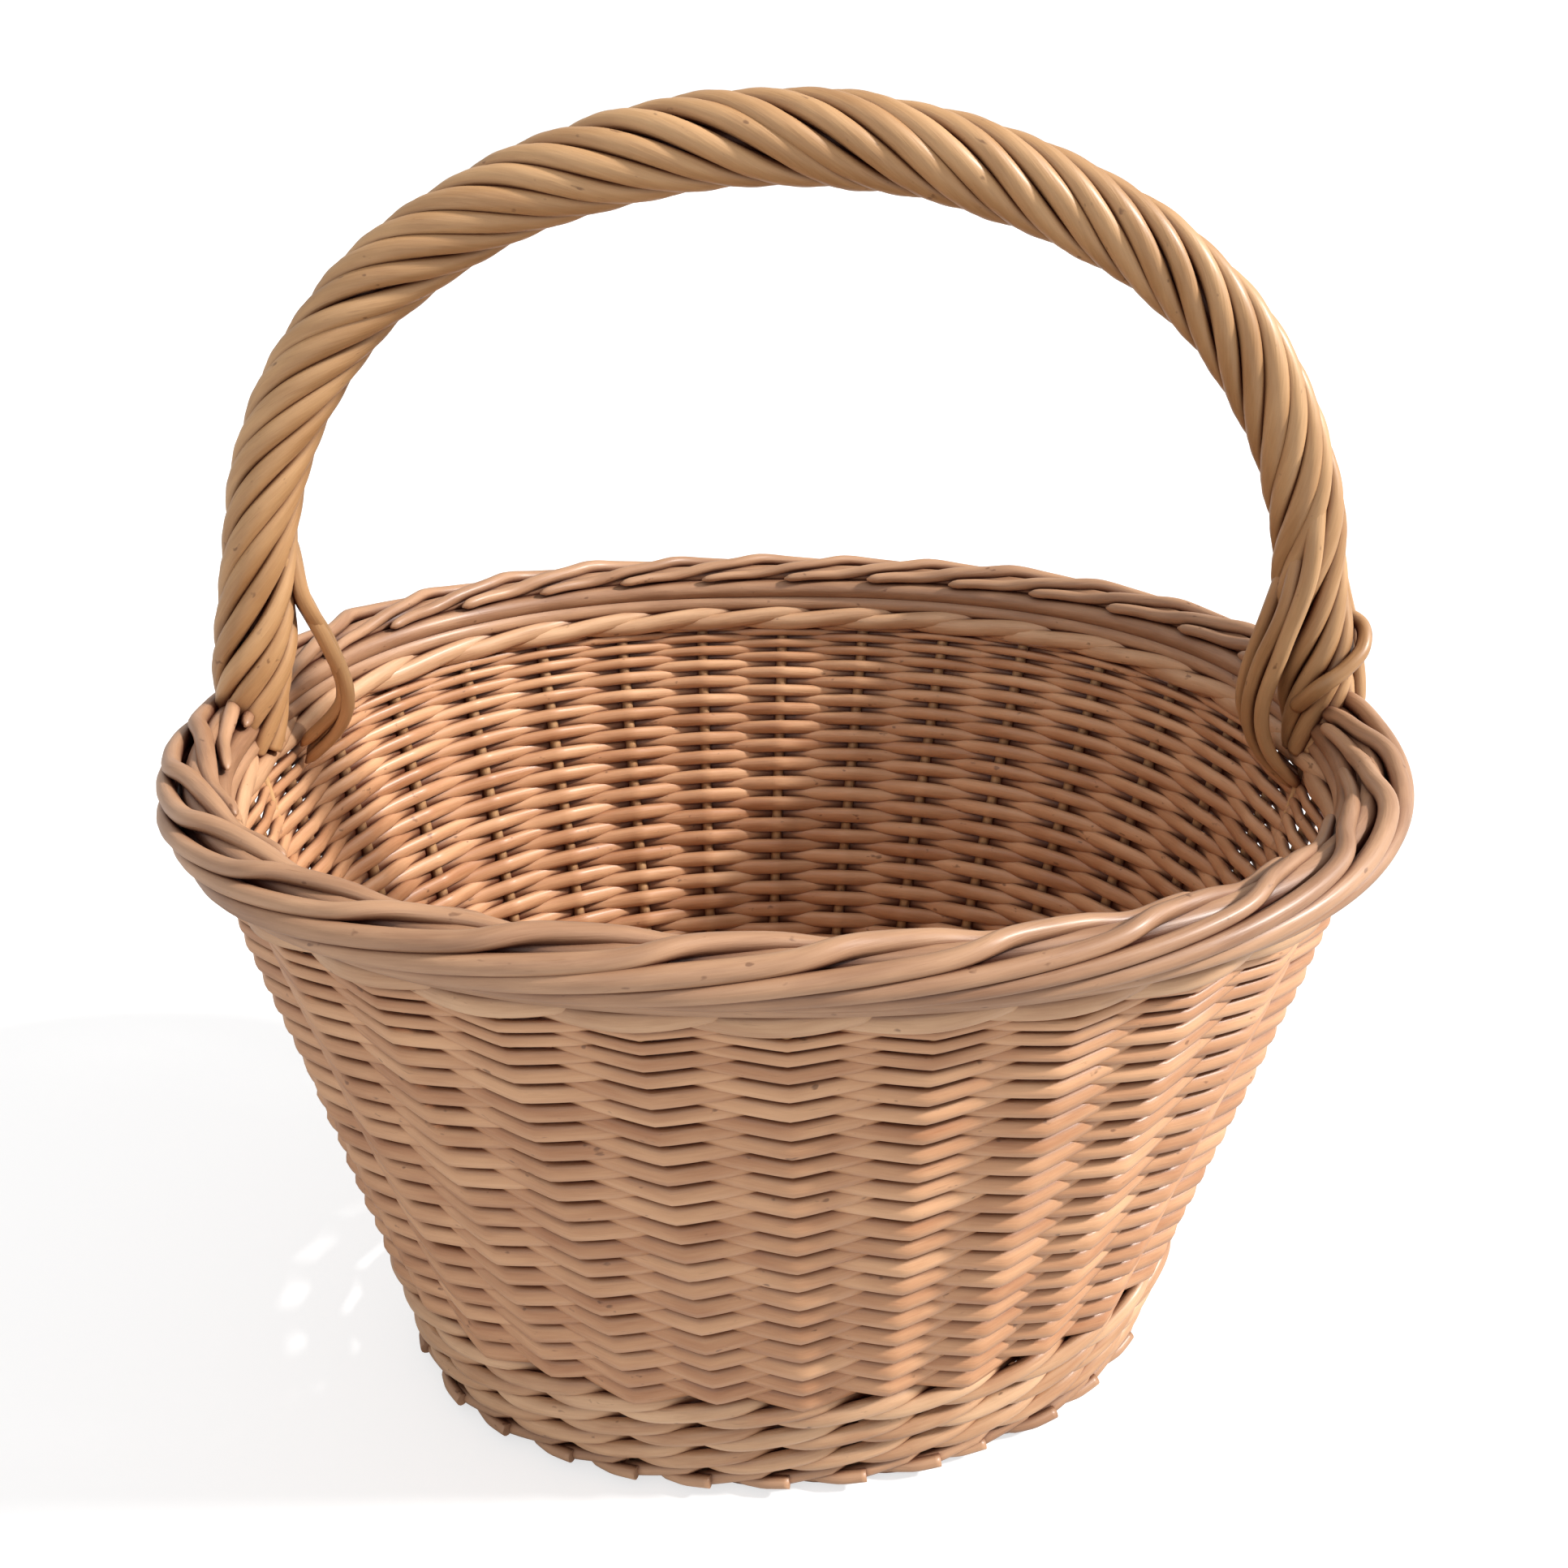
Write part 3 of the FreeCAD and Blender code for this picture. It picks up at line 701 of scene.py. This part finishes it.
class BASKET_OT_handle_bow(Operator):
    """Bend the stick inside the handle; its two ends go down inside the wall"""

    bl_idname = "basket.handle_bow"
    bl_label = "Handle bow"

    def execute(self, context):
        size, colours = context.scene.basket_sizes, context.scene.basket_colours
        rng = np.random.default_rng(53)
        # The arch is the handle's middle line.  Each end goes up the middle of the wall,
        # from a thin tip to where the arch takes over, and thickens on into the arch.
        total = handle_line(size, np.zeros(1))[2]
        arch = handle_line(size, np.linspace(0, total, 160))[0]
        steps = 24
        depth = np.linspace(BORDER_HIGH - 76 * MM, BORDER_HIGH - 8 * MM, steps)
        left, right = wall(size, 0.5, depth, 0.0)[0], wall(size, 0.0, depth, 0.0)[0]
        path = np.concatenate([left, arch, right[::-1]])
        ends = np.minimum(np.arange(len(path)), np.arange(len(path))[::-1])
        radius = MM * np.interp(ends, [0, steps, steps + 16], [1.0, 3.0, 6.0])
        part = rods(path[None], radius[None], np.array([0.0, -1.0, 0.0]), rng, sides=12)
        finish = willow("stripped_bow", colours.stick_dark, colours.stick_pale, shine=0.1)
        piece("handle_bow_stick", [part], finish, "handle_bow")
        return {"FINISHED"}


class BASKET_OT_handle_ties(Operator):
    """Bend the rods that tie both feet of the handle into the border"""

    bl_idname = "basket.handle_ties"
    bl_label = "Handle ties"

    def execute(self, context):
        size, colours = context.scene.basket_sizes, context.scene.basket_colours
        rng = np.random.default_rng(43)
        finish = willow("buff_willow_ties", colours.handle_dark, colours.handle_pale)
        # Each tie is a list of places: in from the leg's middle, across, and up from the
        # border's top, in mm.  A tie starts inside the leg, bows out of it over the inner
        # face of the border and ends in the wall.  The last two on the right go over the
        # border and round the leg.
        left = [
            [(12, 0, 74), (16, -2, 54), (20, 4, 34), (25, 10, 14), (26, 19, -6), (20, 23, -22),
             (6, 26, -38)],
            [(13, 3, 72), (19, 5, 52), (22, 2, 33), (25, 13, 13), (28, 17, -8), (22, 21, -24),
             (6, 23, -40)],
            [(11, -2, 64), (17, 1, 46), (22, 7, 27), (26, 15, 4), (24, 20, -14), (6, 21, -32)],
        ]
        right = [
            [(13, -6, 74), (14, -14, 46), (18, -11, 18), (20, -6, -6), (14, -3, -24),
             (-1, 0, -40)],
            [(14, -4, 66), (18, -9, 34), (23, -4, 8), (22, 1, -12), (14, 4, -28), (-1, 5, -42)],
            [(14, 0, 58), (20, 1, 28), (23, 6, 4), (21, 10, -12), (12, 13, -28), (-1, 14, -40)],
            [(4, 4, 58), (-6, 6, 34), (-12, 3, 16), (-15, -2, -2), (-12, -5, -14), (-3, -8, -24)],
            [(9, -6, -6), (5, -15, 5), (-3, -15, 12), (-10, -10, 18), (-12, -1, 24), (-4, 6, 28)],
        ]
        steps = 44
        foot = size.rim_half_length - size.handle_inset
        radius = 2.9 * MM * rounded_ends(steps, 0.05) * np.linspace(1.1, 0.8, steps)
        guide = np.array([0.0, -1.0, 0.3])
        for side, ties, node in ((-1, left, "handle_ties_left"), (1, right, "handle_ties_right")):
            lines = np.stack([smooth_line(tie, steps) for tie in ties]) * MM
            points = np.stack([side * (foot - lines[..., 0]), lines[..., 1],
                               BORDER_HIGH + lines[..., 2]], axis=-1)
            part = rods(points, radius, guide, rng, sides=10)
            piece(node + "_rods", [part], finish, node)
        return {"FINISHED"}


# ---------------------------------------------------------------- base

class BASKET_OT_base_weaving(Operator):
    """Weave the oval base: rings of thin rods over and under the base sticks"""

    bl_idname = "basket.base_weaving"
    bl_label = "Base weaving"

    def execute(self, context):
        size, colours = context.scene.basket_sizes, context.scene.basket_colours
        rng = np.random.default_rng(47)
        middle = (BASE_LOW + BASE_HIGH) / 2
        low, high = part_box("base_weave")
        half_long, half_wide = (high.x - low.x) / 2, (high.y - low.y) / 2
        sticks_low, sticks_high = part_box("base_cross_sticks")
        # Each ring is an ellipse, a rod's width inside the one before it.
        thick = 2.1 * MM
        count = int(half_wide / (2 * thick)) - 1
        inset = (np.arange(count)[:, None] + 0.7) * 2 * thick
        steps = 320
        share = np.arange(steps) / steps
        turn = 2 * np.pi * share
        lean = size.foot_twist * (1 - middle / size.rim_height)
        x = (half_long - inset) * np.cos(turn)
        y = (half_wide - inset) * np.sin(turn)
        # Over one stick and under the next: the phase gains half a wave at each of the
        # seven sticks, and the wave dies out in the 12 mm next to the long middle line.
        stick_width, gaps, swing = 8 * MM, 6, 4.6 * MM
        cross = (sticks_high.x - sticks_low.x - stick_width) / gaps
        phase = np.pi * (x / cross + 0.5 * np.sign(y) * (1 - np.abs(x) / (half_long - inset)))
        row = np.arange(count)[:, None]
        z = middle + swing * np.cos(phase + np.pi * row) * np.minimum(1, np.abs(y) / (12 * MM))
        c, s = math.cos(lean), math.sin(lean)
        points = np.stack([c * x - s * y, s * x + c * y, z], axis=-1)
        points[..., 2] += 0.2 * MM * wander(rng, share, count, (3, 5, 7))
        up = np.array([0.0, 0.0, 1.0])
        part = rods(points, thick, up, rng, closed=True, width=1.4)
        finish = willow("buff_willow_base", colours.wale_dark, colours.wale_pale)
        piece("base_weaving_rods", [part], finish, "base_weave")
        return {"FINISHED"}


class BASKET_OT_sticks(Operator):
    """Finish the stakes and the base sticks, which are plain stripped sticks"""

    bl_idname = "basket.sticks"
    bl_label = "Stakes and sticks"

    def execute(self, context):
        colours = context.scene.basket_colours
        finish = willow("stripped_stick", colours.stick_dark, colours.stick_pale, on_rods=False,
                        shine=0.1)
        for name in ("side_stakes", "base_long_sticks", "base_cross_sticks"):
            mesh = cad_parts[name].data
            mesh.materials.clear()
            mesh.materials.append(finish)
        return {"FINISHED"}


# ---------------------------------------------------------------- stage

class BASKET_OT_stage(Operator):
    """Set the floor, the soft studio light and the camera"""

    bl_idname = "basket.stage"
    bl_label = "Stage"

    def execute(self, context):
        scene = context.scene
        # The floor lies a hair below the foot, so that the two never share a face.
        half, level = 20.0, GROUND - 0.2 * MM
        corners = [(-half, -half, level), (half, -half, level), (half, half, level),
                   (-half, half, level)]
        mesh = bpy.data.meshes.new("floor")
        mesh.from_pydata(corners, [], [(0, 1, 2, 3)])
        mesh.materials.append(studio_floor(scene.basket_colours.floor))
        floor = bpy.data.objects.new("floor", mesh)
        scene.collection.objects.link(floor)

        # An even white sky, which the camera sees brighter than it shines.
        world = bpy.data.worlds.new("studio")
        world.use_nodes = True
        tree = world.node_tree
        tree.nodes.clear()
        seen = add_node(tree, "LightPath").outputs["Is Camera Ray"]
        strength = add_node(tree, "MapRange", [("To Min", SKY_LIGHT), ("To Max", SKY_SEEN)],
                            Value=seen)
        sky = add_node(tree, "Background", [("Color", (1, 1, 1, 1))],
                       Strength=strength.outputs["Result"])
        add_node(tree, "OutputWorld", Surface=sky.outputs["Background"])
        scene.world = world

        # Key from the right and a little in front; a weak fill from the front left.
        for name, direction, spread, power, tint in LAMPS:
            light = bpy.data.lights.new(name, "SUN")
            light.angle = math.radians(spread)
            light.energy = power
            light.color = tint
            lamp = bpy.data.objects.new(name, light)
            lamp.rotation_euler = Vector(direction).to_track_quat("Z", "Y").to_euler()
            scene.collection.objects.link(lamp)

        lens = bpy.data.cameras.new("camera")
        lens.sensor_width = SENSOR
        lens.lens = FOCAL_LENGTH
        lens.clip_start = 0.01
        camera = bpy.data.objects.new("camera", lens)
        camera.location = EYE
        camera.rotation_euler = (math.radians(90 - EYE_DOWN), 0, 0)
        scene.collection.objects.link(camera)
        scene.camera = camera
        scene.view_settings.view_transform = "Standard"
        return {"FINISHED"}


# ---------------------------------------------------------------- sidebar and run

OPERATORS = [BASKET_OT_stage, BASKET_OT_sticks, BASKET_OT_base_weaving, BASKET_OT_foot_border,
             BASKET_OT_foot_wale, BASKET_OT_side_weaving, BASKET_OT_top_wale,
             BASKET_OT_rim_border, BASKET_OT_handle_bow, BASKET_OT_handle_roping,
             BASKET_OT_handle_ties]


class BASKET_PT_sidebar(Panel):
    """Lists the pieces of the basket in the order in which they are made"""

    bl_idname = "BASKET_PT_sidebar"
    bl_label = "Willow basket"
    bl_space_type = "VIEW_3D"
    bl_region_type = "UI"
    bl_category = "Basket"

    def draw(self, context):
        for operator in OPERATORS:
            self.layout.operator(operator.bl_idname)


CLASSES = [BasketSizes, BasketColours, *OPERATORS, BASKET_PT_sidebar]


def register():
    """Make the classes known to Blender and give every scene its sizes and colours."""
    for kind in CLASSES:
        bpy.utils.register_class(kind)
    bpy.types.Scene.basket_sizes = PointerProperty(type=BasketSizes)
    bpy.types.Scene.basket_colours = PointerProperty(type=BasketColours)


def unregister():
    """Take back what register() did, in the opposite order."""
    del bpy.types.Scene.basket_colours
    del bpy.types.Scene.basket_sizes
    for kind in reversed(CLASSES):
        bpy.utils.unregister_class(kind)


def main():
    """Make every piece in order."""
    register()
    for operator in OPERATORS:
        group, name = operator.bl_idname.split(".")
        getattr(getattr(bpy.ops, group), name)()


if __name__ == "__main__":
    main()
